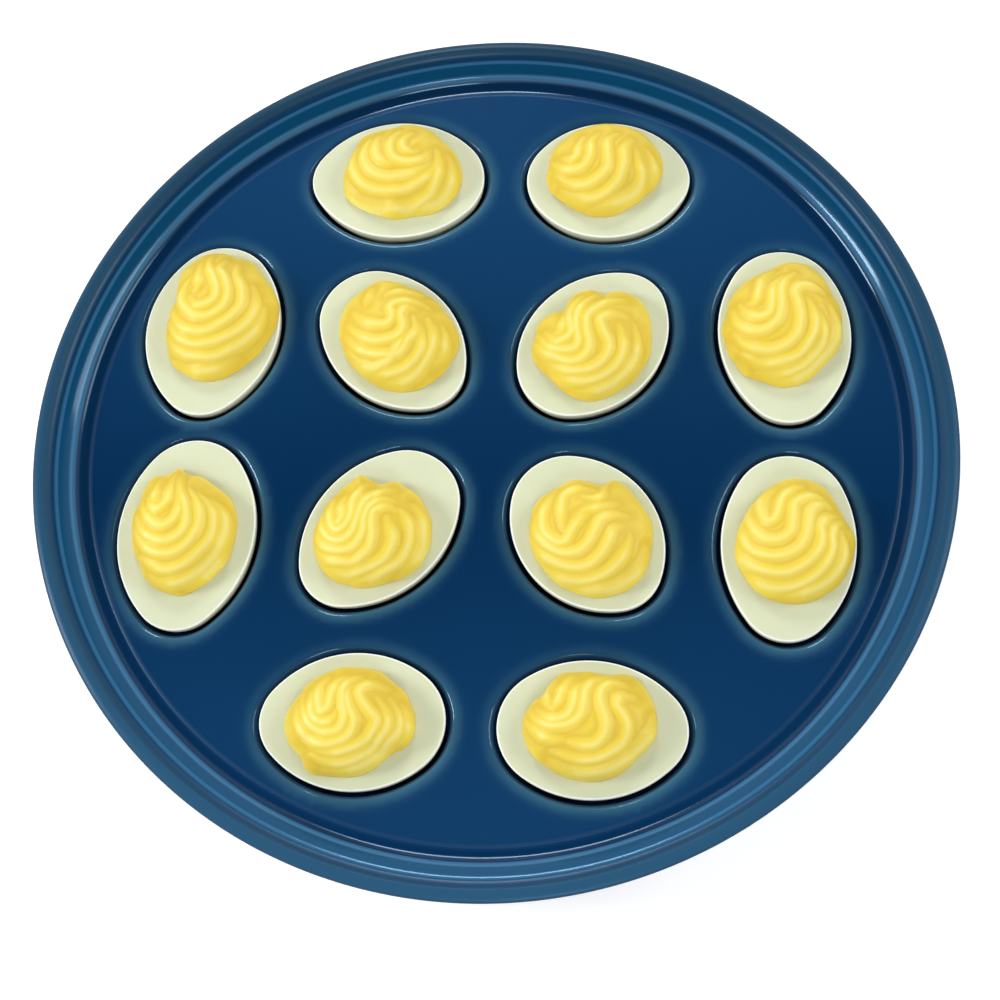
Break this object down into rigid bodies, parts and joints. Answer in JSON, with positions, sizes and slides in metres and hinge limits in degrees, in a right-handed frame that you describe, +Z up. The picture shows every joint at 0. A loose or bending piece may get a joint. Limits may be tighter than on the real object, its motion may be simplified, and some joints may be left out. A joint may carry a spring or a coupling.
{
  "type": "deviled egg platter",
  "caption": "Round platter with a stepped rim and egg-shaped wells, each holding a boiled egg half with a piped yolk rosette.",
  "frame": {"origin": "On the table under the middle of the dish, in the plane that the foot ring stands on.", "axes": "+Z up, out of the wells' mouths. X and Y are the platter's two lines of symmetry between the outer pairs of wells; +Y is the side away from the viewer."},
  "size_m": [0.3048, 0.3048, 0.041],
  "materials": {
    "platter": "moulded melamine, polished, navy blue",
    "egg_white": "boiled egg white, smooth and moist, stands in as a soft plastic",
    "egg_filling": "piped creamy yolk filling, soft satin"
  },
  "bodies": {
    "root": {"platter": "platter", "egg_white_1": "egg_white", "egg_white_2": "egg_white", "egg_white_3": "egg_white", "egg_white_4": "egg_white", "egg_white_5": "egg_white", "egg_white_6": "egg_white", "egg_white_7": "egg_white", "egg_white_8": "egg_white", "egg_white_9": "egg_white", "egg_white_10": "egg_white", "egg_white_11": "egg_white", "egg_white_12": "egg_white", "egg_filling_1": "egg_filling", "egg_filling_2": "egg_filling", "egg_filling_3": "egg_filling", "egg_filling_4": "egg_filling", "egg_filling_5": "egg_filling", "egg_filling_6": "egg_filling", "egg_filling_7": "egg_filling", "egg_filling_8": "egg_filling", "egg_filling_9": "egg_filling", "egg_filling_10": "egg_filling", "egg_filling_11": "egg_filling", "egg_filling_12": "egg_filling"}
  },
  "joints": []
}
